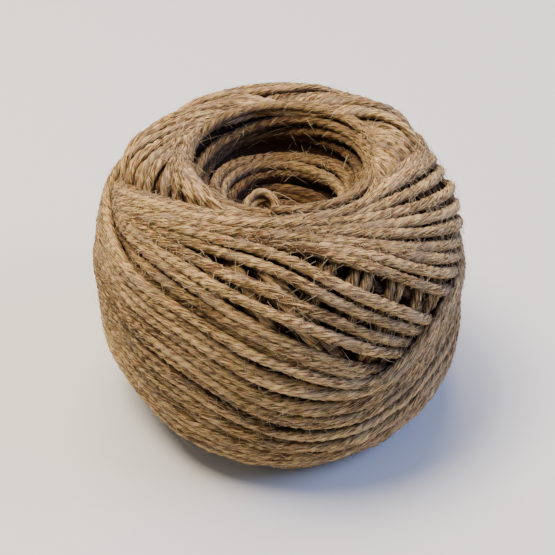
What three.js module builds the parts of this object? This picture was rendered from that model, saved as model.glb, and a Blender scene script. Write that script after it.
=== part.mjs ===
// Ball of jute twine, machine wound on a spindle and slipped off: one soft solid, hollow along its axis.
// Millimetres, +Z up. The origin is the middle of the flat spot that the ball stands on.
import * as THREE from "three";

// Driving dimensions
const waistRadius = 41.2; // at the widest, between the crests and the grooves of the turns
const halfLip = 34.2; // height of the lip round the hollow, above the ball's middle
const halfBase = 33.2; // depth of the flat spot, below the ball's middle
const turnCount = 22; // main turns between the lower and the upper lip
const turnRows = 3; // a groove and two rows along the crest
const turnDepth = 1.5; // from the crest of a turn to the groove beside it
const turnSwing = 11; // how far a turn climbs and falls along the wall at the waist
const lowAzimuth = THREE.MathUtils.degToRad(289); // where the turns run lowest, front right
const turnSkew = 0.35; // the turns climb faster to the right of that place than to its left
const ledgeCount = 6; // ring-shaped ledges of inner turns between the lip and the core
const ledgeRows = 2; // a groove and a crest
const ledgeDepth = 1.4;
const coreRings = 3; // plain rings along the narrow core
const crestUnevenness = 0.2; // how far a crest rises and sinks along its turn
const crestWaves = 2; // rises in one turn
const crestShift = 1.7; // radians by which the rises move on from row to row
const ovalDepth = 0.45; // how far the waist strays from round, out and in
const ovalAzimuth = THREE.MathUtils.degToRad(28); // where the waist is widest
const columns = 48; // points round the axis
const outlineSteps = 1200; // fineness at which the outline's length is measured

// Wound form from the waist over the lip and down the hollow, as heights above the ball's middle
const woundForm = [
  { place: "waist", radius: waistRadius, height: 0 },
  { place: "side", radius: 40.8, height: 10.5 },
  { place: "upper side", radius: 39.3, height: 19 },
  { place: "shoulder", radius: 35.6, height: 26.2 },
  { place: "upper shoulder", radius: 30.6, height: 31.4 },
  { place: "lip", radius: 24.8, height: halfLip },
  { place: "inner lip", radius: 21, height: 32.2 },
  { place: "hollow wall", radius: 18.6, height: 27.6 },
  { place: "ledge", radius: 15, height: 23.6 },
  { place: "hollow floor", radius: 9.6, height: 20.4 },
  { place: "core mouth", radius: 6.2, height: 15.4 },
  { place: "core", radius: 5.6, height: 5.2 },
];

const jute = new THREE.MeshStandardMaterial({ color: 0xa8875c, roughness: 0.92, metalness: 0 });

// The closed outline of a half section: the table upwards, then its mirror image back to the waist
function makeOutline() {
  const upper = woundForm.map(({ radius, height }) => new THREE.Vector3(radius, height, 0));
  const lower = upper.slice(1).reverse().map(({ x, y }) => new THREE.Vector3(x, -y, 0));
  const outline = new THREE.CatmullRomCurve3([...upper, ...lower], true, "centripetal");
  outline.arcLengthDivisions = outlineSteps;
  return outline;
}

const outline = makeOutline();
const outlineLength = outline.getLength();

// Distance along the outline, from the waist, at which the upper half passes a named place
function distanceTo(place) {
  const index = woundForm.findIndex((row) => row.place === place);
  const points = 2 * woundForm.length - 1;
  const lengths = outline.getLengths();
  return lengths[Math.round((index / points) * (lengths.length - 1))];
}

const lipDistance = distanceTo("lip");
const coreDistance = distanceTo("core mouth");

// A turn's climb at an azimuth, from -1 at its lowest place to 1 at its highest
function turnWave(azimuth) {
  const fromLow = azimuth - lowAzimuth;
  return -Math.cos(fromLow + turnSkew * (1 - Math.cos(fromLow)));
}

// The first row of each turn or ledge is its groove and lies back, and the others stand out
const relief = (step, rowsEach, depth) => (step % rowsEach ? depth / 2 : -depth / 2);

// Rows of points from the lower lip up the outside, then down the hollow and out at the base
function makeRows() {
  const rows = [];
  const turnSteps = turnCount * turnRows;
  for (let step = 0; step < turnSteps; step += 1) {
    const level = lipDistance * ((2 * step) / turnSteps - 1);
    const swing = turnSwing * (1 - (level / lipDistance) ** 2);
    rows.push({ level, swing, standOut: relief(step, turnRows, turnDepth) });
  }
  const ledgeSteps = ledgeCount * ledgeRows;
  const ledgePitch = (coreDistance - lipDistance) / ledgeSteps;
  for (let step = 0; step < ledgeSteps; step += 1) {
    const level = lipDistance + step * ledgePitch;
    rows.push({ level, swing: 0, standOut: relief(step, ledgeRows, ledgeDepth) });
  }
  const coreLength = outlineLength - 2 * coreDistance;
  for (let step = 0; step <= coreRings; step += 1) {
    rows.push({ level: coreDistance + (step / coreRings) * coreLength, swing: 0, standOut: 0 });
  }
  for (let step = ledgeSteps - 1; step > 0; step -= 1) {
    const level = outlineLength - lipDistance - step * ledgePitch;
    rows.push({ level, swing: 0, standOut: relief(step, ledgeRows, ledgeDepth) });
  }
  return rows;
}

// A point of a row: on the outline, pushed out square to it, and pressed flat where the ball stands
function rowPoint(row, rowIndex, azimuth) {
  const distance = row.level + row.swing * turnWave(azimuth);
  const share = THREE.MathUtils.euclideanModulo(distance / outlineLength, 1);
  const place = outline.getPointAt(share);
  const along = outline.getTangentAt(share);
  const rise = Math.sin(crestWaves * azimuth + crestShift * rowIndex);
  const out = row.standOut + crestUnevenness * rise * Math.sign(row.standOut);
  const oval = ovalDepth * Math.cos(2 * (azimuth - ovalAzimuth));
  const radius = place.x + out * along.y + oval * (place.x / waistRadius) ** 2;
  const height = Math.max(place.y - out * along.x, -halfBase) + halfBase;
  return [radius * Math.cos(azimuth), radius * Math.sin(azimuth), height];
}

// The rows joined into one closed skin, each to the next and the last to the first
function makeBall() {
  const rows = makeRows();
  const positions = rows.flatMap((row, rowIndex) =>
    Array.from({ length: columns }, (_, column) =>
      rowPoint(row, rowIndex, (2 * Math.PI * column) / columns),
    ).flat(),
  );
  const triangles = [];
  for (let row = 0; row < rows.length; row += 1) {
    for (let column = 0; column < columns; column += 1) {
      const nextRow = ((row + 1) % rows.length) * columns;
      const nextColumn = (column + 1) % columns;
      const here = row * columns + column;
      const right = row * columns + nextColumn;
      triangles.push(here, right, nextRow + nextColumn, here, nextRow + nextColumn, nextRow + column);
    }
  }
  const geometry = new THREE.BufferGeometry();
  geometry.setAttribute("position", new THREE.Float32BufferAttribute(positions, 3));
  geometry.setIndex(triangles);
  geometry.computeVertexNormals();
  const ball = new THREE.Mesh(geometry, jute);
  ball.name = "twine_ball";
  return ball;
}

const part = new THREE.Group();
part.add(makeBall());

export default part;
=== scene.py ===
# Ball of two-ply jute twine, wound turn by turn over the form of its solid
# Lengths are metres. Azimuths in the settings are degrees: 0 is the right, 90 the back, 270 the front
import math

import bpy
import numpy as np
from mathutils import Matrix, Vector


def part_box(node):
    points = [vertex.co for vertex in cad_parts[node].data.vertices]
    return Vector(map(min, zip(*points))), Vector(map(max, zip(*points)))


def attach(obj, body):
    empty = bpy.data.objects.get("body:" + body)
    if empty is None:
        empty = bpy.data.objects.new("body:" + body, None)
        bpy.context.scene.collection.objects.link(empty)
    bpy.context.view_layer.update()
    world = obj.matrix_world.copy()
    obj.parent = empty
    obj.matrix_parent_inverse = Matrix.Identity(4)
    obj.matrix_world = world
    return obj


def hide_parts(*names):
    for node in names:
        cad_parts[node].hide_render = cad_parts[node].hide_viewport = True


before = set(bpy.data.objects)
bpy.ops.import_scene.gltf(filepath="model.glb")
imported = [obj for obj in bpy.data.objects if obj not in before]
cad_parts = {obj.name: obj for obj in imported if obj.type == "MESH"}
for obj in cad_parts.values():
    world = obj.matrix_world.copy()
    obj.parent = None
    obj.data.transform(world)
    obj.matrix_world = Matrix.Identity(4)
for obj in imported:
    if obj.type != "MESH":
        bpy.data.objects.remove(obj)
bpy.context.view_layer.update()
ballLow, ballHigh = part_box("twine_ball")
waist = (ballHigh[0] - ballLow[0] + ballHigh[1] - ballLow[1]) / 4  # radius at the widest
fullTurn = 2 * math.pi
draws = np.random.default_rng(41)

# The wound form that the turns lie on
# q is the distance along its outline, up from the waist
form = {
    "waistHeight": 0.4865 * (ballHigh[2] - ballLow[2]),  # of the middle plane, above the floor
    # radius and height above the waist of the half section, as shares of the waist radius
    "section": [
        (0.992, 0.0),  # waist
        (0.982, 0.25),
        (0.944, 0.455),
        (0.856, 0.628),  # shoulder
        (0.734, 0.75),
        (0.588, 0.818),  # lip of the hollow
        (0.49, 0.772),
        (0.452, 0.65),  # wall of the hollow
        (0.395, 0.50),
        (0.285, 0.40),  # floor of the hollow
        (0.165, 0.30),
        (0.142, 0.10),  # narrow core
    ],
    "perStretch": 40,  # points of the outline from one point of the section to the next
    # soft swellings and dents of the ball, with q and spread in waist radii
    "swellings": [
        {"azimuth": 165, "q": 0.3, "spread": 0.5, "height": 0.0014},
        {"azimuth": 208, "q": -0.6, "spread": 0.42, "height": -0.0021},
        {"azimuth": 330, "q": -0.45, "spread": 0.4, "height": 0.0004},
        {"azimuth": 187, "q": -0.02, "spread": 0.3, "height": 0.0012},
        {"azimuth": 148, "q": 0.58, "spread": 0.32, "height": -0.0019},
        {"azimuth": 20, "q": 0.4, "spread": 0.35, "height": -0.0011},
        {"azimuth": 350, "q": -0.28, "spread": 0.28, "height": 0.0009},
        {"azimuth": 250, "q": 1.06, "spread": 0.5, "height": -0.0018},
        {"azimuth": 310, "q": 1.06, "spread": 0.5, "height": -0.0023},
    ],
}
ballMiddle = Vector((0, 0, form["waistHeight"]))

# The twine itself, with spans counted in steps along a strand
twine = {
    "width": 0.00265,  # across both plies
    "flatness": 0.86,  # a strand's height over its width
    "twist": 0.0049,  # length in which the plies go once round each other
    "twistUneven": 0.5,  # radians by which the twist runs ahead or lags
    "twistSpan": 30,
    "step": 0.00062,  # between the rings of a strand's mesh
    "ring": [1.0, 0.97, 0.87, 0.97] * 2,  # two plies with a groove at each side
    "fibreLay": 0.024,  # length in which a fibre on the surface goes once round the strand
    "slub": 0.09,  # long thick and thin places, as a share of the width
    "slubSpan": 14,
    "fineSlub": 0.045,  # short ones
    "fineSlubSpan": 5,
    "lumps": 0.045,  # unevenness of the surface, as a share of the width
    "onFloor": 0.62,  # height of a strand's middle where it lies on the floor, in half heights
    "showWindow": 7,  # steps round a place, one of which has to show for it to be made
}
halfWidth = twine["width"] / 2
halfHeight = halfWidth * twine["flatness"]


# A smooth curve through rows of points: each stretch is a cubic, whose slope at a point is half
# the step between the point's two neighbours
def smoothThrough(rows, perStretch, closed=False):
    rows = np.asarray(rows, float)
    if closed:
        chain = np.concatenate([rows[-1:], rows, rows[:2]])
    else:
        chain = np.concatenate([2 * rows[:1] - rows[1:2], rows, 2 * rows[-1:] - rows[-2:-1]])
    a, b, c, d = (chain[k : len(chain) - 3 + k, None, :] for k in range(4))
    t = (np.arange(perStretch) / perStretch)[None, :, None]
    curve = b + t * (c - a) / 2 + t**2 * (a - 2.5 * b + 2 * c - d / 2)
    curve = curve + t**3 * (1.5 * (b - c) + (d - a) / 2)
    return curve.reshape(-1, rows.shape[1])


# Slow random swings from about -1 to 1: one random value in each span, joined by a smooth curve
def wander(count, span):
    perSpan, spare = 16, 4  # points in each span, and knots past the end
    knots = draws.uniform(-1, 1, (int(count / span) + spare, 1))
    curve = smoothThrough(knots, perSpan)[:, 0]
    return np.interp(np.arange(count) / span * perSpan, np.arange(len(curve)), curve)


# Lengths from the first point of a line to each of its points: the sums of its steps
def lengthAlong(points):
    steps = np.linalg.norm(np.diff(points, axis=0), axis=1)
    return np.concatenate([[0], np.cumsum(steps)])


# The outline of the wound form as arrays over q: radius, height, and the two parts of the outward
# direction, which is its slope turned by a right angle
def makeOutline():
    half = np.array(form["section"]) * waist
    curve = smoothThrough(np.vstack([half[:0:-1] * [1, -1], half]), form["perStretch"])
    steps = np.hypot(*np.diff(curve, axis=0).T)
    q = np.concatenate([[0], np.cumsum(steps)])
    q -= q[(len(half) - 1) * form["perStretch"]]
    slope = np.gradient(curve, q, axis=0)
    slope /= np.linalg.norm(slope, axis=1, keepdims=True)
    radius, height = curve.T
    return {"q": q, "radius": radius, "height": height, "outR": slope[:, 1], "outZ": -slope[:, 0]}


outline = makeOutline()


# One column of the outline at distances q
def outlineAt(q, column):
    return np.interp(q, outline["q"], outline[column])


# Height of the swellings at azimuth and q: each is a Gaussian of the distance from its middle
def swellingAt(azimuth, q):
    total = 0 * q
    for swelling in form["swellings"]:
        turned = azimuth - math.radians(swelling["azimuth"])
        aside = (1 - np.cos(turned)) * 2 + (q / waist - swelling["q"]) ** 2
        total = total + swelling["height"] * np.exp(-aside / swelling["spread"] ** 2)
    return total


# Points and outward directions at azimuth and q, raised above the outline by lift:
# the outline's point plus lift times its outward direction, turned to the azimuth
def placeAt(azimuth, q, lift):
    lift = lift + swellingAt(azimuth, q)
    outR, outZ = outlineAt(q, "outR"), outlineAt(q, "outZ")
    radius = outlineAt(q, "radius") + lift * outR
    height = outlineAt(q, "height") + lift * outZ + form["waistHeight"]
    points = np.stack([radius * np.cos(azimuth), radius * np.sin(azimuth), height], 1)
    outward = np.stack([outR * np.cos(azimuth), outR * np.sin(azimuth), outZ], 1)
    return points, outward


# A path resampled at even steps of its length, from azimuth and q over a fine run of turns
def evenPath(azimuth, q):
    points, _ = placeAt(azimuth, q, 0 * q)
    length = lengthAlong(points)
    even = np.arange(0, length[-1], twine["step"])
    azimuth, q = np.interp(even, length, azimuth), np.interp(even, length, q)
    return {"azimuth": azimuth, "q": q, "along": even}


samplesPerTurn = 900  # of a path, before it is resampled

# First winding: tilted turns whose high place walks once round the ball and then part of the way back
firstWinding = {
    "turns": 58,
    "reach": 1.135,  # how far from the waist a turn climbs, in waist radii
    "reachSwing": 0.025,
    "swingTurns": 17,
    "swingUneven": 0.4,
    "swingSpan": 500,  # in samples
    "straying": 2.2,  # degrees by which the high place strays
    "strayingSpan": 600,
    "squareness": 1.4,  # how quickly a turn crosses from the lower lip to the upper
    "walk": [(0, -155), (45, 205), (58, 65)],  # turns, and the azimuths of the high place at them
}


# Path of the first winding: q is the reach times a flattened cosine of the azimuth from the high
# place, tanh(k cos) / tanh(k)
def firstPath():
    turns = firstWinding["turns"]
    turn = np.linspace(0, turns, turns * samplesPerTurn)
    azimuth = fullTurn * turn
    high = np.radians(np.interp(turn, *np.array(firstWinding["walk"]).T))
    straying = math.radians(firstWinding["straying"])
    high = high + straying * wander(len(turn), firstWinding["strayingSpan"])
    swing = np.sin(fullTurn * turn / firstWinding["swingTurns"])
    swing = swing + firstWinding["swingUneven"] * wander(len(turn), firstWinding["swingSpan"])
    reach = firstWinding["reach"] + firstWinding["reachSwing"] * swing
    k = firstWinding["squareness"]
    return evenPath(azimuth, waist * reach * np.tanh(k * np.cos(azimuth - high)) / np.tanh(k))


# Second winding: a fan that is tight at the left and opens to the right of the front
# Its turns run from the first row to the last, and q is in waist radii at every 30 degrees
fanWinding = {
    "turnsAtRows": [0, 3, 10.78, 11.78, 12.78, 14.78, 15.78, 22],
    "rows": [
        [0.88, 0.64, 0.42, 0.30, 0.30, 0.42, 0.61, 0.83, 0.97, 1.08, 1.07, 1.02],
        [0.78, 0.50, 0.25, 0.16, 0.22, 0.41, 0.595, 0.785, 0.91, 1.00, 1.00, 0.94],
        [-0.06, -0.25, -0.34, -0.30, -0.10, 0.29, 0.555, 0.735, 0.84, 0.82, 0.64, 0.27],
        [-0.22, -0.42, -0.50, -0.44, -0.19, 0.24, 0.535, 0.70, 0.785, 0.735, 0.43, 0.04],
        [-0.30, -0.48, -0.55, -0.49, -0.24, 0.20, 0.51, 0.665, 0.73, 0.65, 0.32, -0.05],
        [-0.44, -0.60, -0.66, -0.58, -0.31, 0.13, 0.48, 0.605, 0.585, 0.43, 0.13, -0.20],
        [-0.52, -0.68, -0.73, -0.64, -0.37, 0.09, 0.44, 0.545, 0.505, 0.31, 0.0, -0.30],
        [-0.84, -0.94, -0.98, -0.90, -0.66, -0.28, 0.08, 0.20, 0.12, -0.12, -0.38, -0.64],
    ],
    "bunching": 0.006,
    "bunchAzimuth": 310,
    "straying": 0.012,
}

# Last winding: a band that hangs lowest at the front right and lies over the fan
lastWinding = {
    "turnsAtRows": [0, 4, 9, 16],
    "rows": [
        [0.22, 0.44, 0.80, 0.99, 0.94, 0.70, 0.55, 0.46, 0.38, 0.17, -0.06, 0.14],
        [0.13, 0.30, 0.60, 0.78, 0.73, 0.51, 0.35, 0.23, 0.15, -0.10, -0.15, 0.06],
        [-0.14, 0.03, 0.31, 0.48, 0.43, 0.21, 0.04, -0.08, -0.16, -0.38, -0.42, -0.25],
        [-0.46, -0.31, -0.06, 0.09, 0.04, -0.17, -0.34, -0.48, -0.58, -0.72, -0.76, -0.58],
    ],
    "bunching": 0.02,
    "bunchAzimuth": 285,
    "straying": 0.011,
}

# What the fan and the last winding share
rowWinding = {
    "perStretch": 60,  # points of a row from one azimuth to the next
    "bunchNarrowness": 3,  # the larger, the shorter the stretch where turns are drawn together
    "strayingSpan": 110,  # in samples
}


# Path of a winding that is given by rows: q goes from row to row as the turns go on, with
# neighbouring turns drawn together in pairs near one azimuth and all of them straying a little
def rowsPath(winding):
    turns = winding["turnsAtRows"][-1]
    turn = np.linspace(0, turns, turns * samplesPerTurn)
    dense = smoothThrough(np.array(winding["rows"]).T, rowWinding["perStretch"], closed=True)
    dense = np.vstack([dense, dense[:1]])
    column = (turn % 1) * (len(dense) - 1)
    left = np.minimum(column.astype(int), len(dense) - 2)
    share = (column - left)[:, None]
    rowsHere = dense[left] * (1 - share) + dense[left + 1] * share
    row = np.interp(turn, winding["turnsAtRows"], np.arange(len(winding["rows"])))
    above = np.minimum(row.astype(int), len(winding["rows"]) - 2)
    index = np.arange(len(turn))
    q = rowsHere[index, above] + (row - above) * (rowsHere[index, above + 1] - rowsHere[index, above])
    fromBunch = turn - winding["bunchAzimuth"] / 360
    window = np.exp(rowWinding["bunchNarrowness"] * (np.cos(fullTurn * fromBunch) - 1))
    q += winding["bunching"] * window * np.cos(math.pi * fromBunch)
    q += winding["straying"] * wander(len(turn), rowWinding["strayingSpan"])
    return evenPath(fullTurn * turn, waist * q)


# At the fold on the left shoulder, most of the fan's upper turns cross under the few on top
fold = {
    "azimuth": 212,
    "narrowness": 3,  # the larger, the shorter the stretch where turns are pressed in
    "turns": 11,  # of the fan that meet there
    "oneOnTopIn": 4,
    "under": 0.0019,  # how far the others are pressed in
}


# How far a turn is pressed in: under * exp(narrowness * (cos(azimuth - fold) - 1)), or 0 on top
def pressedIn(path):
    turn = np.floor(path["azimuth"] / fullTurn)
    below = (turn % fold["oneOnTopIn"] > 0) & (turn < fold["turns"])
    fromFold = path["azimuth"] - math.radians(fold["azimuth"])
    return below * fold["under"] * np.exp(fold["narrowness"] * (np.cos(fromFold) - 1))


# The bed holds, for every azimuth and q, how high the turns laid so far reach above the outline
bed = {
    "columns": 440,
    "rows": 440,
    "reach": 1.36 * waist,  # q at the edges of the bed
    "wound": 1.25 * waist,  # q up to which turns lie on it
    "leastShare": 0.05,  # of wound cells round a cell, when heights are levelled
    "acrossStrand": 11,  # places across a strand where it can rest on something
    "steepest": 0.2,  # least squared cosine of a turn's climb
    "stretch": 180,  # steps laid at once, under a turn, so that a strand never rests on itself
    "lead": 30,  # steps before a stretch that its easing goes on from
    "settleEvery": 4,  # stretches
    "sink": 0.00022,  # how far a strand presses into what it crosses
    "span": 9,  # steps over which a taut strand eases its own height
    "passes": 8,
    "settle": 0.007,  # width over which the layers are levelled to the wound form
    "margin": 80,  # empty rows past the edge, so that smoothing doesn't wrap round
    "crown": 0.0004,  # strands stand this far above the levelled surface
    "pile": 0.0016,  # most that a strand rises before it slips in beside the others
    "proud": 0.0016,  # most that it stands out in the finished ball
    "tuck": 0.004,  # how far the ends are pushed in under their neighbours
    "tuckLength": 0.006,
    "hidden": 0.0007,  # strands covered by more than this are left out
    "coverColumns": 2,  # cells to each side that have to be covered too
    "coverRows": 4,
}
rowSize = 2 * bed["reach"] / (bed["rows"] - 1)
columnSize = fullTurn * waist / bed["columns"]


# Columns and rows of the bed nearest to places given by azimuth and q
def bedCells(azimuth, q):
    column = np.round(azimuth / fullTurn * bed["columns"]).astype(int) % bed["columns"]
    row = np.clip(np.round((q + bed["reach"]) / rowSize).astype(int), 0, bed["rows"] - 1)
    return column, row


# Value of a field of the bed between its cells, as the weighted mean of the four round a place
def bedValue(field, azimuth, q):
    justInside = bed["rows"] - 1.001  # so that a row follows
    x = (azimuth / fullTurn * bed["columns"]) % bed["columns"]
    y = np.clip((q + bed["reach"]) / rowSize, 0, justInside)
    x0, y0 = x.astype(int) % bed["columns"], y.astype(int)
    x1 = (x0 + 1) % bed["columns"]
    shareX, shareY = x - x.astype(int), y - y0
    near = field[x0, y0] * (1 - shareY) + field[x0, y0 + 1] * shareY
    far = field[x1, y0] * (1 - shareY) + field[x1, y0 + 1] * shareY
    return near * (1 - shareX) + far * shareX


# A field of the bed smoothed by a Gaussian, worked out on its frequencies
def blurred(field):
    field = np.pad(field, ((0, 0), (0, bed["margin"])))
    around = np.fft.fftfreq(field.shape[0], columnSize)[:, None]
    along = np.fft.rfftfreq(field.shape[1], rowSize)[None, :]
    gain = np.exp(-2 * (math.pi * bed["settle"]) ** 2 * (around**2 + along**2))
    return np.fft.irfft2(np.fft.rfft2(field) * gain, s=field.shape)[:, : bed["rows"]]


# Lowest value of a field within a few cells of each cell
def lowestNearby(field):
    columns, rows = bed["coverColumns"], bed["coverRows"]
    for axis, reach in ((0, columns), (1, rows)):
        shifts = range(-reach, reach + 1)
        field = np.minimum.reduce([np.roll(field, shift, axis=axis) for shift in shifts])
    return field


# The part of the bed that turns reach, and how much of it lies round each cell
bedQ = np.linspace(-bed["reach"], bed["reach"], bed["rows"])
wound = (np.abs(bedQ) < bed["wound"]) * np.ones((bed["columns"], 1))
woundShare = np.maximum(blurred(wound), bed["leastShare"])


# The layers laid so far sink until their smoothed top is level with the wound form again
def settle(heights, laid):
    level = blurred(heights * wound) / woundShare
    heights -= level
    for path in laid:
        path["lift"] -= bedValue(level, path["azimuth"], path["q"])


# Heights of a strand's middle along its path: it rests on the highest thing under its round
# section, eases over dips like a taut string, and then raises the bed under itself
def layTurns(heights, laid):
    path = laid[-1]
    lift = path["lift"]
    across = np.linspace(-1, 1, bed["acrossStrand"])
    roundness = halfHeight * np.sqrt(1 - across**2)
    climb = np.gradient(path["q"], path["along"])
    slant = np.sqrt(np.clip(1 - climb**2, bed["steepest"], 1))
    column, _ = bedCells(path["azimuth"], path["q"])
    _, row = bedCells(0, path["q"][:, None] + across * (halfWidth / slant)[:, None])
    kernel = np.hanning(bed["span"] + 2)[1:-1]
    kernel /= kernel.sum()
    pad = bed["span"] // 2

    # The bed is never lower than the strand's top, in its own column and the two beside it
    def raiseBed(part):
        top = lift[part, None] + roundness
        for shift in (-1, 0, 1):
            np.maximum.at(heights, ((column[part, None] + shift) % bed["columns"], row[part]), top)

    stretch = bed["stretch"]
    for start in range(0, len(column), stretch):
        part = slice(start, min(start + stretch, len(column)))
        lead = lift[max(0, start - bed["lead"]) : start]
        support = (heights[column[part, None], row[part]] + roundness).max(1) - bed["sink"]
        eased = np.concatenate([lead, support])
        for _ in range(bed["passes"]):
            smooth = np.convolve(np.pad(eased, pad, mode="edge"), kernel, mode="valid")
            eased[len(lead) :] = np.maximum(support, smooth[len(lead) :])
        eased = np.where(eased > 0, bed["pile"] * np.tanh(eased / bed["pile"]), eased)
        lift[part] = eased[len(lead) :]
        raiseBed(slice(max(0, start - stretch), start))
        if start % (bed["settleEvery"] * stretch) == 0:
            settle(heights, laid)
    raiseBed(part)


# The windings laid one over the other, with what is buried marked: a strand stands out by
# proud * tanh(lift / proud) at most, and its ends are tucked in
def windBall():
    paths = {"first": firstPath(), "fan": rowsPath(fanWinding), "last": rowsPath(lastWinding)}
    heights = np.zeros((bed["columns"], bed["rows"]))
    laid = []
    for name, path in paths.items():
        path["lift"] = np.zeros(len(path["along"]))
        laid.append(path)
        layTurns(heights, laid)
        print("laid", name, "winding:", round(path["along"][-1], 2), "m of twine")
    settle(heights, laid)
    lowest = lowestNearby(heights)
    for name, path in paths.items():
        cells = bedCells(path["azimuth"], path["q"])
        path["shown"] = lowest[cells] - (path["lift"] + halfHeight) < bed["hidden"]
        most = bed["proud"] * np.tanh(np.maximum(path["lift"], 0) / bed["proud"])
        under = pressedIn(path) if name == "fan" else 0
        path["lift"] = np.minimum(path["lift"], most) + (bed["crown"] - halfHeight - under)
        fromEnd = np.minimum(path["along"], path["along"][-1] - path["along"])
        path["lift"] -= bed["tuck"] * np.exp(-((fromEnd / bed["tuckLength"]) ** 2))
        # depth, how far a strand's middle lies under the surface, sets its painted shade, and shading
        # sets how much darker its sides are painted than its top
        path["depth"] = -path["lift"]
        path["shading"] = np.ones(len(path["along"]))
    return paths


# A ring of points carried along a path: point = middle + side * width * cos + up * height * sin
# The rings of a stretch are joined by quads, and each stretch is closed at both ends
def sweep(middle, up, width, height, ring, turned, joined):
    tiny = 1e-12  # keeps a length off zero
    ahead = np.gradient(middle, axis=0)
    breaks = np.flatnonzero(~joined[:-1])
    ahead[breaks] = middle[breaks] - middle[np.maximum(breaks - 1, 0)]
    ahead[breaks + 1] = middle[np.minimum(breaks + 2, len(middle) - 1)] - middle[breaks + 1]
    ahead /= np.maximum(np.linalg.norm(ahead, axis=1, keepdims=True), tiny)
    up = up - (up * ahead).sum(1, keepdims=True) * ahead
    up /= np.maximum(np.linalg.norm(up, axis=1, keepdims=True), tiny)
    side = np.cross(up, ahead)
    count = np.shape(ring)[-1]
    angle = np.arange(count) * fullTurn / count + turned[:, None]
    out = np.atleast_2d(ring)[:, :, None]
    points = middle[:, None, :] + out * (
        (width[:, None] * np.cos(angle))[:, :, None] * side[:, None, :]
        + (height[:, None] * np.sin(angle))[:, :, None] * up[:, None, :]
    )
    first = np.flatnonzero(joined[:-1])[:, None] * count
    here = np.arange(count)[None, :]
    following = (here + 1) % count
    walls = [first + here, first + following, first + count + following, first + count + here]
    hasBefore = np.concatenate([[False], joined[:-1]])
    starts = np.flatnonzero(joined & ~hasBefore)[:, None, None] * count
    ends = np.flatnonzero(~joined & hasBefore)[:, None, None] * count
    strip = np.arange(count // 2 - 1)
    cap = np.stack([strip, strip + 1, count - 2 - strip, count - 1 - strip], 1)[None]
    quads = [np.stack(walls, 2), starts + cap[:, :, ::-1], ends + cap]
    return points.reshape(-1, 3), np.concatenate([part.reshape(-1, 4) for part in quads])


# A mesh object from arrays of points and quads, with values carried on its points
def makePiece(name, points, quads, material, values):
    mesh = bpy.data.meshes.new(name)
    mesh.vertices.add(len(points))
    mesh.vertices.foreach_set("co", points.astype(np.float32).ravel())
    mesh.loops.add(quads.size)
    mesh.loops.foreach_set("vertex_index", quads.astype(np.int32).ravel())
    mesh.polygons.add(len(quads))
    mesh.polygons.foreach_set("loop_start", np.arange(0, quads.size, 4, dtype=np.int32))
    mesh.polygons.foreach_set("use_smooth", np.ones(len(quads), bool))
    mesh.update(calc_edges=True)
    for key, data in values.items():
        kind, field = ("FLOAT_VECTOR", "vector") if data.ndim == 2 else ("FLOAT", "value")
        attribute = mesh.attributes.new(key, kind, "POINT")
        attribute.data.foreach_set(field, data.astype(np.float32).ravel())
    mesh.materials.append(material)
    piece = bpy.data.objects.new(name, mesh)
    bpy.context.scene.collection.objects.link(piece)
    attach(piece, "root")
    print("made", name, "with", 2 * len(quads), "triangles")
    return piece


# Strands of two-ply twine along a path: the ring turns with the plies, swells at slubs, and is
# pressed flat on the floor
# Its points carry their place on the fibre, groove, depth in the ball and tone; groove and depth,
# which grows at a strand's sides, set the material's painted shade
def makeStrands(name, path, shrink=1.0):
    shown = np.convolve(path["shown"], np.ones(twine["showWindow"]), mode="same") > 0
    keep = np.flatnonzero(shown)
    joined = np.concatenate([np.diff(keep) == 1, [False]])
    alone = ~joined & ~np.concatenate([[False], joined[:-1]])
    keep, joined = keep[~alone], joined[~alone]
    count = len(path["along"])
    slub = 1 + twine["slub"] * wander(count, twine["slubSpan"])
    swell = shrink * (slub + twine["fineSlub"] * wander(count, twine["fineSlubSpan"]))
    middle = path["middle"].copy()
    middle[:, 2] = np.maximum(middle[:, 2], halfHeight * twine["onFloor"])
    turned = -fullTurn * path["along"] / twine["twist"]
    turned = turned + twine["twistUneven"] * wander(count, twine["twistSpan"])
    ring = np.array(twine["ring"])
    uneven = ring * (1 + twine["lumps"] * draws.normal(0, 1, (len(keep), len(ring))))
    points, quads = sweep(
        middle[keep], path["outward"][keep], halfWidth * swell[keep], halfHeight * swell[keep],
        uneven, turned[keep], joined,
    )
    points[:, 2] = np.maximum(points[:, 2], 0)
    spoke = np.arange(len(ring)) * fullTurn / len(ring)
    # rise is a point's height above the strand's middle: taking it off the depth paints the top
    # lighter and the sides and underside darker
    rise = ring * np.sin(spoke + turned[keep, None]) * halfHeight
    lay = (spoke + (turned + fullTurn * path["along"] / twine["fibreLay"])[keep, None]).ravel()
    around = np.stack([np.cos(lay), np.sin(lay)], 1) * halfWidth
    values = {
        "fibre": np.column_stack([around, np.repeat(path["along"][keep], len(ring))]),
        "groove": np.tile((1 - ring) / (1 - ring.min()), len(keep)),
        "depth": (path["depth"][keep, None] - path["shading"][keep, None] * rise).ravel(),
        "tone": np.repeat(path["tone"][keep], len(ring)),
    }
    return makePiece(name, points, quads, jute, values)


# sRGB hex colour as linear red, green, blue and alpha
def linear(hexColour):
    parts = np.array([int(hexColour[k : k + 2], 16) for k in (1, 3, 5)]) / 255
    light = np.where(parts <= 0.04045, parts / 12.92, ((parts + 0.055) / 1.055) ** 2.4)
    return (*light.tolist(), 1.0)


# A new material and its node tree, still empty
def newMaterial(name):
    material = bpy.data.materials.new(name)
    material.use_nodes = True
    material.node_tree.nodes.clear()
    return material, material.node_tree


# One node with its settings, and its inputs set or linked, by name or as i and a number
def addNode(tree, kind, settings=None, **inputs):
    node = tree.nodes.new(kind)
    for key, value in (settings or {}).items():
        setattr(node, key, value)
    for key, value in inputs.items():
        numbered = key[0] == "i" and key[1:].isdigit()
        socket = node.inputs[int(key[1:]) if numbered else key.replace("_", " ")]
        if isinstance(value, bpy.types.NodeSocket):
            tree.links.new(value, socket)
        else:
            socket.default_value = value
    return node
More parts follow.
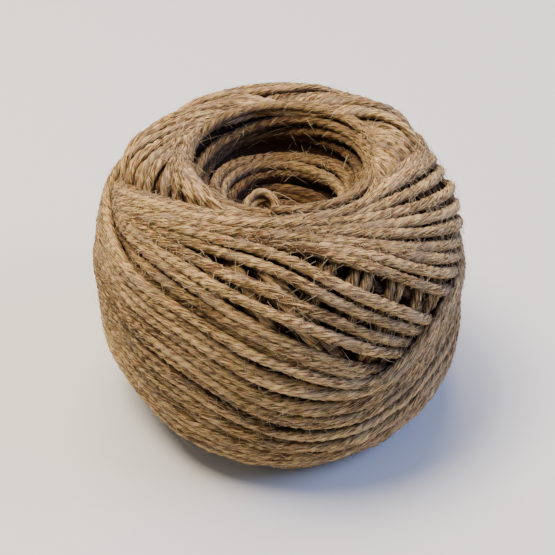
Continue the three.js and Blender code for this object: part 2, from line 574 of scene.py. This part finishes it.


# Jute twine, spun from split bast fibre and plied: matt straw brown, streaked along the plies with
# pale and dark fibre, with painted shade that darkens the grooves and most deep between the turns
juteLook = {
    "brown": "#4d361d",
    "straw": "#9e7e51",
    "pale": "#dcb880",
    "stops": (0.08, 0.5, 0.92),  # shades at which those three lie
    "streakWidth": 0.00022,  # of a bundle of fibres, drawn coarser than real so that it shows
    "streakLength": 0.0022,
    "streakShare": 3.2,  # how much the streaks add to the shade
    "bundleWidth": 0.35,  # scale across of the wider bundles, against the streaks
    "bundleLength": 0.5,
    "bundleShare": 1.6,
    "shadeStart": 1.9,  # what is taken off, so that most shades lie from 0 to 1
    "hueSize": 0.0011,  # of spots that lean to olive or to red
    "hueShare": 0.5,
    "grey": "#968672",
    "patch": 0.011,  # length of a greyer or browner stretch
    "greyAt": (0.5, 0.72),  # noise at which a patch starts to grey and is greyest
    "greyMost": 0.55,
    "grooveShadeShare": 0.28,  # painted shade: how far the grooves between the plies turn brown
    "deep": "#6e5f4e",  # painted shade: what the colour is multiplied by deep between the turns and at the strands' sides
    "deepMost": 0.95,
    "shadow": (0.0, 0.0026),  # depth at which the painted shade starts to darken a strand and is full
    "bumpStrength": 0.9,
    "bumpDepth": 0.0004,
    "roughness": 0.9,
}


# Shade is streaks, bundles and the strand's tone added up, and runs from brown through straw to pale
# Spots tint it, patches grey it, painted shade turns the grooves brown, and painted shade by depth
# multiplies it by the deep colour
def makeJute():
    look = juteLook
    material, tree = newMaterial("plied_jute_twine")
    fibre, groove, depth, tone = (
        addNode(tree, "ShaderNodeAttribute", {"attribute_name": key})
        for key in ("fibre", "groove", "depth", "tone")
    )
    place = fibre.outputs["Vector"]
    across, along = 1 / look["streakWidth"], 1 / look["streakLength"]
    streakAt = addNode(tree, "ShaderNodeMapping", Vector=place, Scale=(across, across, along))
    wide, long = look["bundleWidth"] * across, look["bundleLength"] * along
    bundleAt = addNode(tree, "ShaderNodeMapping", Vector=place, Scale=(wide, wide, long))
    streaks = addNode(tree, "ShaderNodeTexNoise", Vector=streakAt.outputs[0], Scale=1.0, Detail=2.0)
    bundles = addNode(tree, "ShaderNodeTexNoise", Vector=bundleAt.outputs[0], Scale=1.0, Detail=2.0)
    patches = addNode(tree, "ShaderNodeTexNoise", Vector=place, Scale=1 / look["patch"], Detail=1.0)
    hues = addNode(tree, "ShaderNodeTexNoise", Vector=place, Scale=1 / look["hueSize"], Detail=2.0)

    toned = addNode(tree, "ShaderNodeMath", {"operation": "MULTIPLY_ADD"},
                    i0=bundles.outputs["Fac"], i1=look["bundleShare"], i2=tone.outputs["Fac"])
    summed = addNode(tree, "ShaderNodeMath", {"operation": "MULTIPLY_ADD"},
                     i0=streaks.outputs["Fac"], i1=look["streakShare"], i2=toned.outputs[0])
    shade = addNode(tree, "ShaderNodeMath", {"operation": "SUBTRACT"},
                    i0=summed.outputs[0], i1=look["shadeStart"])
    ramp = addNode(tree, "ShaderNodeValToRGB", Fac=shade.outputs[0])
    stops = ramp.color_ramp.elements
    brownAt, strawAt, paleAt = look["stops"]
    stops[0].position, stops[0].color = brownAt, linear(look["brown"])
    stops[1].position, stops[1].color = paleAt, linear(look["pale"])
    stops.new(strawAt).color = linear(look["straw"])

    tinted = addNode(tree, "ShaderNodeMix", {"data_type": "RGBA", "blend_type": "SOFT_LIGHT"},
                     i0=look["hueShare"], i6=ramp.outputs["Color"], i7=hues.outputs["Color"])
    greyFrom, greyTo = look["greyAt"]
    greyShare = addNode(tree, "ShaderNodeMapRange", {"clamp": True}, Value=patches.outputs["Fac"],
                        i1=greyFrom, i2=greyTo, i3=0.0, i4=look["greyMost"])
    greyed = addNode(tree, "ShaderNodeMix", {"data_type": "RGBA"},
                     i0=greyShare.outputs[0], i6=tinted.outputs[2], i7=linear(look["grey"]))
    # Painted shade in the grooves between the plies
    grooveShadeShare = addNode(tree, "ShaderNodeMath", {"operation": "MULTIPLY"},
                          i0=groove.outputs["Fac"], i1=look["grooveShadeShare"])
    grooved = addNode(tree, "ShaderNodeMix", {"data_type": "RGBA"},
                      i0=grooveShadeShare.outputs[0], i6=greyed.outputs[2], i7=linear(look["brown"]))
    # Painted shade: the deeper a point lies, the more its colour is multiplied by the deep colour
    shadowFrom, shadowTo = look["shadow"]
    paintedShadeShare = addNode(tree, "ShaderNodeMapRange", {"clamp": True}, Value=depth.outputs["Fac"],
                        i1=shadowFrom, i2=shadowTo, i3=0.0, i4=look["deepMost"])
    colour = addNode(tree, "ShaderNodeMix", {"data_type": "RGBA", "blend_type": "MULTIPLY"},
                     i0=paintedShadeShare.outputs[0], i6=grooved.outputs[2], i7=linear(look["deep"]))

    bump = addNode(tree, "ShaderNodeBump", Height=streaks.outputs["Fac"],
                   Strength=look["bumpStrength"], Distance=look["bumpDepth"])
    shader = addNode(tree, "ShaderNodeBsdfPrincipled", Base_Color=colour.outputs[2],
                     Roughness=look["roughness"], Normal=bump.outputs["Normal"], IOR=1.5,
                     Specular_IOR_Level=0.12, Sheen_Weight=0.04, Sheen_Roughness=0.6)
    addNode(tree, "ShaderNodeOutputMaterial", Surface=shader.outputs[0])
    return material


# Buried jute: the lower layers, coloured near black brown as painted shade, since hardly any light
# reaches them
buriedLook = {
    "dark": "#21160c",
    "light": "#432b1b",
    "mottling": 0.003,  # size of the spots
    "bumpStrength": 0.8,
    "bumpDepth": 0.0008,
    "roughness": 0.95,
}


# Noise runs from the dark colour to the light one and also gives the bump
def makeBuriedJute():
    look = buriedLook
    material, tree = newMaterial("buried_jute_painted_shade")
    place = addNode(tree, "ShaderNodeTexCoord")
    mottling = addNode(tree, "ShaderNodeTexNoise", Vector=place.outputs["Object"],
                       Scale=1 / look["mottling"], Detail=3.0)
    ramp = addNode(tree, "ShaderNodeValToRGB", Fac=mottling.outputs["Fac"])
    ramp.color_ramp.elements[0].color = linear(look["dark"])
    ramp.color_ramp.elements[1].color = linear(look["light"])
    bump = addNode(tree, "ShaderNodeBump", Height=mottling.outputs["Fac"],
                   Strength=look["bumpStrength"], Distance=look["bumpDepth"])
    shader = addNode(tree, "ShaderNodeBsdfPrincipled", Base_Color=ramp.outputs["Color"],
                     Roughness=look["roughness"], Normal=bump.outputs["Normal"],
                     Specular_IOR_Level=0.1)
    addNode(tree, "ShaderNodeOutputMaterial", Surface=shader.outputs[0])
    return material


# Loose jute fibre: pale single fibres with a soft shine
fibreLook = {"dark": "#6b5638", "pale": "#cdb993", "roughness": 0.6}


# Each fibre's tone runs from the dark colour to the pale one
def makeFibreMaterial():
    material, tree = newMaterial("loose_jute_fibre")
    tone = addNode(tree, "ShaderNodeAttribute", {"attribute_name": "tone"})
    ramp = addNode(tree, "ShaderNodeValToRGB", Fac=tone.outputs["Fac"])
    ramp.color_ramp.elements[0].color = linear(fibreLook["dark"])
    ramp.color_ramp.elements[1].color = linear(fibreLook["pale"])
    shader = addNode(tree, "ShaderNodeBsdfPrincipled", Base_Color=ramp.outputs["Color"],
                     Roughness=fibreLook["roughness"], Specular_IOR_Level=0.15)
    addNode(tree, "ShaderNodeOutputMaterial", Surface=shader.outputs[0])
    return material


jute = makeJute()
buriedJute = makeBuriedJute()
fibreMaterial = makeFibreMaterial()
print("materials ready")

# The buried layers under the turns that show: a smooth form whose near black colour is painted shade
buried = {
    "columns": 120,
    "rows": 130,
    # how far under the wound form, at shares of the outline from the waist to the core
    "insetAt": [(0.0, 0.0042), (0.52, 0.0042), (0.62, 0.0036), (0.7, 0.002), (1.0, 0.0012)],
    "aboveFloor": 0.0012,
}


# The buried form: the outline drawn in by the inset and turned about the axis, closed on itself
def makeBuried():
    columns, rows = buried["columns"], buried["rows"]
    end = outline["q"][-1]
    q = np.linspace(-end, end, rows)
    inset = np.interp(np.abs(q) / end, *np.array(buried["insetAt"]).T)
    azimuth = np.arange(columns) * fullTurn / columns
    azimuths, qs = (part.ravel() for part in np.meshgrid(azimuth, q, indexing="ij"))
    points, _ = placeAt(azimuths, qs, -np.tile(inset, columns))
    points[:, 2] = np.maximum(points[:, 2], buried["aboveFloor"])
    column, row = np.meshgrid(np.arange(columns), np.arange(rows), indexing="ij")
    nextColumn, nextRow = (column + 1) % columns, (row + 1) % rows
    corners = [(column, row), (nextColumn, row), (nextColumn, nextRow), (column, nextRow)]
    quads = np.stack([across * rows + up for across, up in corners], 2).reshape(-1, 4)
    makePiece("buried_turns", points, quads, buriedJute, {})


makeBuried()

# Paler and darker runs of the twine, as shares of the shade, with spans in steps along a strand
outerTone = {"level": 0.0, "slow": (0.2, 120), "quick": (0.15, 18)}
innerTone = {"level": 0.12, "slow": (0.15, 100), "quick": (0.08, 18)}


# Tone along a strand: its level plus a slow swing and a quick one
def toneAlong(count, tone):
    slow, slowSpan = tone["slow"]
    quick, quickSpan = tone["quick"]
    return tone["level"] + slow * wander(count, slowSpan) + quick * wander(count, quickSpan)


# Outer windings
paths = windBall()
for path in paths.values():
    path["middle"], path["outward"] = placeAt(path["azimuth"], path["q"], path["lift"])
    path["tone"] = toneAlong(len(path["along"]), outerTone)


# One run of a path, from one share of its length to another
def partOf(path, start, end):
    part = slice(int(start * len(path["along"])), int(end * len(path["along"])))
    return {key: value[part] for key, value in path.items()}


# The first winding is two pieces, to keep each light enough
split = 0.55
strandPieces = [
    makeStrands("first_turns_early", partOf(paths["first"], 0, split)),
    makeStrands("first_turns_late", partOf(paths["first"], split, 1)),
    makeStrands("fan_turns", paths["fan"]),
    makeStrands("last_turns", paths["last"]),
]

# Turns inside the hollow, one spiral from its wall down to the core and on to the base
# Radius, height and the depth that sets a turn's painted shade are given at the back, where gaps
# are open between the turns, and for the rest of the round, where they lie close. Lengths are in
# waist radii, the depth in metres, and the lower half is the same the other way up
hollow = {
    "rows": [
        {"turn": 0.0, "back": (0.486, 0.745, 0.0020), "round": (0.480, 0.740, 0.0019)},
        {"turn": 1.0, "back": (0.478, 0.728, 0.0024), "round": (0.470, 0.725, 0.0020)},
        {"turn": 1.5, "back": (0.449, 0.645, 0.0029), "round": (0.452, 0.68, 0.0019)},
        {"turn": 2.5, "back": (0.432, 0.607, 0.0031), "round": (0.430, 0.635, 0.0022)},
        {"turn": 3.5, "back": (0.480, 0.55, 0.0046), "round": (0.405, 0.585, 0.0024)},
        {"turn": 4.5, "back": (0.385, 0.500, 0.0029), "round": (0.380, 0.545, 0.0023)},
        {"turn": 5.5, "back": (0.352, 0.495, 0.0026), "round": (0.358, 0.525, 0.0023)},
        {"turn": 6.5, "back": (0.320, 0.485, 0.0026), "round": (0.333, 0.505, 0.0014)},
        {"turn": 7.5, "back": (0.290, 0.465, 0.0029), "round": (0.305, 0.47, 0.0024)},
        {"turn": 8.5, "back": (0.250, 0.385, 0.0039), "round": (0.260, 0.39, 0.0035)},
        {"turn": 9.5, "back": (0.210, 0.345, 0.0041), "round": (0.210, 0.345, 0.0038)},
        {"turn": 10.5, "back": (0.178, 0.31, 0.0041), "round": (0.178, 0.31, 0.0041)},
        {"turn": 16.5, "back": (0.150, 0.03, 0.0046), "round": (0.150, 0.03, 0.0046)},
    ],
    "samplesPerTurn": 400,
    "startAzimuth": 262,
    "backAzimuth": 105,
    "backWidth": 1.6,  # the larger, the shorter the stretch with open gaps
    "straying": 0.022,
    "radiusSpan": 75,  # in samples
    "heightSpan": 85,
    "shift": 0.016,  # how far a turn's centre moves off the axis
    "tilt": 0.028,  # how far a turn tips
    "tiltToward": 0.7,  # radians, the azimuth where it tips most
    "slowSpan": 420,  # samples over which shift and tilt change
    "facing": (-0.6, 0.8),  # of a strand's top, outwards and up: less than 0 is to the axis
    "shading": 0.4,  # how much a strand's painted shade changes from its top to its sides
}

# The innermost coil, which stands a little off the axis in the floor of the hollow
# Lengths are in waist radii, except the depth
coreCoil = {
    "turns": 1.75,
    "samples": 900,
    "startAngle": -0.6,  # radians
    "radius": 0.075,
    "centre": (-0.1, 0.01),
    "height": 0.335,
    "rise": 0.05,  # in one turn
    "uneven": 0.008,
    "unevenSpan": 130,  # in samples
    "tilt": 0.055,
    "tuck": 0.17,  # how far the ends are pushed down
    "flare": 0.05,  # how far they lean out
    "tuckTurns": 0.4,
    "facingUp": 0.6,  # how far a strand's top faces up, against outwards
    "depth": 0.0011,  # the depth that sets its painted shade
    "shrink": 0.92,  # its width against the other strands
}


# A path through points in waist radii about the ball's middle, resampled at even steps of its
# length, with the way that its strand's top faces and the depth that sets its painted shade
def ringPath(points, facing, depth):
    points = points * waist + [0, 0, form["waistHeight"]]
    length = lengthAlong(points)
    even = np.arange(0, length[-1], twine["step"])
    middle, outward = (
        np.stack([np.interp(even, length, line[:, k]) for k in range(3)], 1)
        for line in (points, facing)
    )
    return {
        "along": even,
        "middle": middle,
        "outward": outward,
        "shown": np.ones(len(even)),
        "tone": toneAlong(len(even), innerTone),
        "depth": np.interp(even, length, depth),
        "shading": np.full(len(even), hollow["shading"]),
    }


# The hollow's spiral: radius, height and painted-shade depth follow the rows by turn, pass to the
# values at
# the back as exp(width * (cos - 1)) of the azimuth from there, and stray a little
def hollowPath():
    knots = np.array([[row["turn"], *row["back"], *row["round"]] for row in hollow["rows"]])
    last = knots[-1, 0]
    # The lower half runs back through the rows, with heights below the middle plane
    lower = knots[-2::-1] * [-1, 1, -1, 1, 1, -1, 1] + [2 * last, 0, 0, 0, 0, 0, 0]
    knots = np.vstack([knots, lower])
    turn = np.linspace(0, 2 * last, int(2 * last * hollow["samplesPerTurn"]))
    count = len(turn)
    angle = fullTurn * turn + math.radians(hollow["startAzimuth"])
    fromBack = np.cos(angle - math.radians(hollow["backAzimuth"])) - 1
    backShare = np.exp(hollow["backWidth"] * fromBack)
    backRow, roundRow = (
        np.stack([np.interp(turn, knots[:, 0], knots[:, k]) for k in columns])
        for columns in ((1, 2, 3), (4, 5, 6))
    )
    radius, height, depth = roundRow + backShare * (backRow - roundRow)
    radius = radius + hollow["straying"] * wander(count, hollow["radiusSpan"])
    height = height + hollow["straying"] * wander(count, hollow["heightSpan"])
    tipped = np.cos(angle - hollow["tiltToward"])
    height = height + hollow["tilt"] * wander(count, hollow["slowSpan"]) * tipped
    shiftX, shiftY = (hollow["shift"] * wander(count, hollow["slowSpan"]) for _ in range(2))
    x, y = radius * np.cos(angle) + shiftX, radius * np.sin(angle) + shiftY
    outwards, upwards = hollow["facing"]
    facing = [outwards * np.cos(angle), outwards * np.sin(angle), upwards * np.sign(height)]
    return ringPath(np.stack([x, y, height], 1), np.stack(facing, 1), depth)


# The core coil: a rising helix, tilted up at the back, with its ends tucked down by the square of
# how near they are
def coilPath():
    turn = np.linspace(0, coreCoil["turns"], coreCoil["samples"])
    angle = fullTurn * turn + coreCoil["startAngle"]
    fromEnd = np.minimum(turn, coreCoil["turns"] - turn) / coreCoil["tuckTurns"]
    tucked = np.maximum(1 - fromEnd, 0) ** 2
    radius = coreCoil["radius"] + coreCoil["uneven"] * wander(len(turn), coreCoil["unevenSpan"])
    radius = radius + coreCoil["flare"] * tucked
    centreX, centreY = coreCoil["centre"]
    x, y = centreX + radius * np.cos(angle), centreY + radius * np.sin(angle)
    z = coreCoil["height"] + coreCoil["rise"] * turn + coreCoil["tilt"] * np.sin(angle)
    z -= coreCoil["tuck"] * tucked
    facing = np.stack([np.cos(angle), np.sin(angle), 0 * angle + coreCoil["facingUp"]], 1)
    return ringPath(np.stack([x, y, z], 1), facing, np.full(len(turn), coreCoil["depth"]))


hollowLine = hollowPath()
coilLine = coilPath()
strandPieces.append(makeStrands("hollow_turns", hollowLine))
strandPieces.append(makeStrands("core_coil", coilLine, coreCoil["shrink"]))

# What all the loose fibres share
fibres = {
    "radius": 0.000045,
    "corners": 4,  # of a fibre's section
    "windingShare": {"first": 0.5, "fan": 1.3, "last": 0.8},  # the fan bears the most
    "deepest": 0.0025,  # strands that lie deeper bear none
    "bareEnd": 3,  # steps at both ends of a strand that bear none
    "hollowFrom": 0.4 * waist,  # height above the waist from which the hollow bears some
    "coilShare": 0.1,  # on the core coil, of the count in the hollow
    "lean": 1.2,  # most radians from a strand's top to a fibre's root
    "root": 0.95,  # where it starts, in half heights of the strand
    "tip": 0.4,  # its thickness at the tip
    "offAxis": 0.01,  # keeps the section's up from lying along the fibre
    "aboveFloor": 0.0002,
}
# Fibres that lie along the strands, longer ones that stand off them, and short straight fuzz
lyingFibres = {
    "name": "lying_fibres",
    "count": 4200,
    "inHollow": 150,
    "length": (0.0015, 0.0055),
    "rings": 4,
    "ahead": 1.0,  # how much a fibre follows its strand
    "off": (0.02, 0.16),  # how steeply it leaves the strand
    "spread": 0.22,  # how far it turns aside
    "bend": 0.12,
}
standingFibres = {
    "name": "standing_fibres",
    "count": 2700,
    "inHollow": 260,
    "length": (0.0015, 0.0065),
    "rings": 6,
    "ahead": 0.9,
    "off": (0.0, 0.45),
    "spread": 0.9,
    "bend": 0.35,
}
fuzz = {
    "name": "fuzz",
    "count": 22500,
    "inHollow": 420,
    "length": (0.0008, 0.0032),
    "rings": 2,
    "ahead": 0.6,
    "off": (-0.1, 0.45),
    "spread": 0.9,
    "bend": 0.0,
}


# Roots for fibres: points of the strands that show, with the ways outward and along the strand
def fibreRoots(look):
    share = look["count"] / sum(np.sum(path["shown"]) for path in paths.values())
    sources = []
    for name, path in paths.items():
        allowed = path["shown"] & (path["depth"] < fibres["deepest"])
        sources.append((path, allowed, share * fibres["windingShare"][name]))
    inside = hollowLine["middle"][:, 2] > form["waistHeight"] + fibres["hollowFrom"]
    sources.append((hollowLine, inside, look["inHollow"] / np.sum(inside)))
    onCoil = fibres["coilShare"] * look["inHollow"] / len(coilLine["along"])
    sources.append((coilLine, coilLine["shown"], onCoil))
    clear = fibres["bareEnd"]
    spots, outs, heads = [], [], []
    for path, allowed, part in sources:
        places = np.flatnonzero(allowed[clear:-clear]) + clear
        pick = draws.choice(places, int(part * np.sum(allowed)))
        spots.append(path["middle"][pick])
        outs.append(path["outward"][pick])
        heads.append(path["middle"][pick + 1] - path["middle"][pick - 1])
    head = np.vstack(heads)
    return np.vstack(spots), np.vstack(outs), head / np.linalg.norm(head, axis=1, keepdims=True)


# Fibres: each leaves a strand's surface, bends over and tapers; its point at share t is
# root + length * (t * start + t * t * bend)
def makeFibres(look):
    spot, out, head = fibreRoots(look)
    side = np.cross(out, head)
    count, rings = len(spot), look["rings"]
    lean = draws.uniform(-fibres["lean"], fibres["lean"], (count, 1))
    root = spot + halfHeight * fibres["root"] * (out * np.cos(lean) + side * np.sin(lean))
    low, high = look["length"]
    length = low + (high - low) * draws.random((count, 1)) ** 2
    start = look["ahead"] * head * draws.choice([-1, 1], (count, 1))
    off = out * draws.uniform(*look["off"], (count, 1))
    start += off + side * draws.normal(0, look["spread"], (count, 1))
    start /= np.linalg.norm(start, axis=1, keepdims=True)
    bend = draws.normal(0, look["bend"], (count, 3)) - out * look["bend"]
    t = np.linspace(0, 1, rings)[None, :, None]
    middle = root[:, None] + length[:, None] * (t * start[:, None] + t**2 * bend[:, None])
    middle = middle.reshape(-1, 3)
    middle[:, 2] = np.maximum(middle[:, 2], fibres["aboveFloor"])
    taper = np.tile(np.linspace(1, fibres["tip"], rings), count) * fibres["radius"]
    up = np.repeat(out, rings, axis=0) + fibres["offAxis"]
    joined = np.tile(np.arange(rings) < rings - 1, count)
    ring = np.ones(fibres["corners"])
    points, quads = sweep(middle, up, taper, taper, ring, np.zeros(len(middle)), joined)
    tone = np.repeat(draws.random(count), rings * fibres["corners"])
    makePiece(look["name"], points, quads, fibreMaterial, {"tone": tone})


for look in (lyingFibres, standingFibres, fuzz):
    makeFibres(look)
for piece in strandPieces:
    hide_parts("twine_ball")

# Floor and lights
studio = {
    "floor": "#cfcfcd",
    "floorReach": 3,
    "floorRoughness": 0.9,
    "sky": "#f4f6fa",
    "skyStrength": 0.37,
    # places are azimuth, height angle and distance
    "lamps": [
        {"name": "key", "place": (182, 70, 0.9), "size": 0.4, "power": 15.1, "colour": "#ffefd8"},
        {"name": "fill", "place": (356, 35, 1.0), "size": 0.6, "power": 10.5, "colour": "#98b4ff"},
        {"name": "back", "place": (100, 72, 0.9), "size": 0.5, "power": 7.5, "colour": "#ffefd8"},
    ],
}

# The camera, with distances in waist radii
photoView = {
    "elevation": 38.0,  # above the ball's middle
    "distance": 8.0,
    "lens": 94.8,  # millimetres
    "sensor": 36,
    "aimRight": -0.0225,  # where it aims, from the ball's middle
    "aimUp": -0.043,
    "clip": (0.01, 10),  # metres
}


# A large soft lamp, turned to the ball: it stands at distance * (cos a cos h, sin a cos h, sin h)
# from the ball's middle, for azimuth a and height angle h
def addLamp(look):
    data = bpy.data.lights.new(look["name"], "AREA")
    data.shape = "DISK"
    data.size = look["size"]
    data.energy = look["power"]
    data.color = linear(look["colour"])[:3]
    azimuth, height, distance = look["place"]
    a, h = math.radians(azimuth), math.radians(height)
    back = Vector((math.cos(a) * math.cos(h), math.sin(a) * math.cos(h), math.sin(h)))
    lamp = bpy.data.objects.new(look["name"], data)
    lamp.location = back * distance + ballMiddle
    lamp.rotation_euler = back.to_track_quat("Z", "Y").to_euler()
    bpy.context.scene.collection.objects.link(lamp)


# A square floor of matt paper, an even sky and the lamps
def makeStudio():
    mesh = bpy.data.meshes.new("floor")
    far = studio["floorReach"]
    corners = [(-far, -far, 0), (far, -far, 0), (far, far, 0), (-far, far, 0)]
    mesh.from_pydata(corners, [], [(0, 1, 2, 3)])
    material, tree = newMaterial("matt_paper_floor")
    shader = addNode(tree, "ShaderNodeBsdfPrincipled", Base_Color=linear(studio["floor"]),
                     Roughness=studio["floorRoughness"])
    addNode(tree, "ShaderNodeOutputMaterial", Surface=shader.outputs[0])
    mesh.materials.append(material)
    floor = bpy.data.objects.new("floor", mesh)
    bpy.context.scene.collection.objects.link(floor)
    world = bpy.data.worlds.new("studio")
    world.use_nodes = True
    sky = world.node_tree.nodes["Background"]
    sky.inputs["Color"].default_value = linear(studio["sky"])
    sky.inputs["Strength"].default_value = studio["skyStrength"]
    bpy.context.scene.world = world
    for look in studio["lamps"]:
        addLamp(look)


# The camera stands back from its aim along the elevation and looks down at the ball
def makeCamera():
    data = bpy.data.cameras.new("photo_view")
    data.lens = photoView["lens"]
    data.sensor_width = photoView["sensor"]
    data.clip_start, data.clip_end = photoView["clip"]
    elevation = math.radians(photoView["elevation"])
    right = Vector((1, 0, 0))
    up = Vector((0, math.sin(elevation), math.cos(elevation)))
    back = Vector((0, -math.cos(elevation), math.sin(elevation)))
    aim = ballMiddle + waist * (photoView["aimRight"] * right + photoView["aimUp"] * up)
    camera = bpy.data.objects.new("photo_view", data)
    camera.location = aim + back * photoView["distance"] * waist
    camera.rotation_euler = back.to_track_quat("Z", "Y").to_euler()
    bpy.context.scene.collection.objects.link(camera)
    bpy.context.scene.camera = camera


makeStudio()
makeCamera()
print("studio ready")
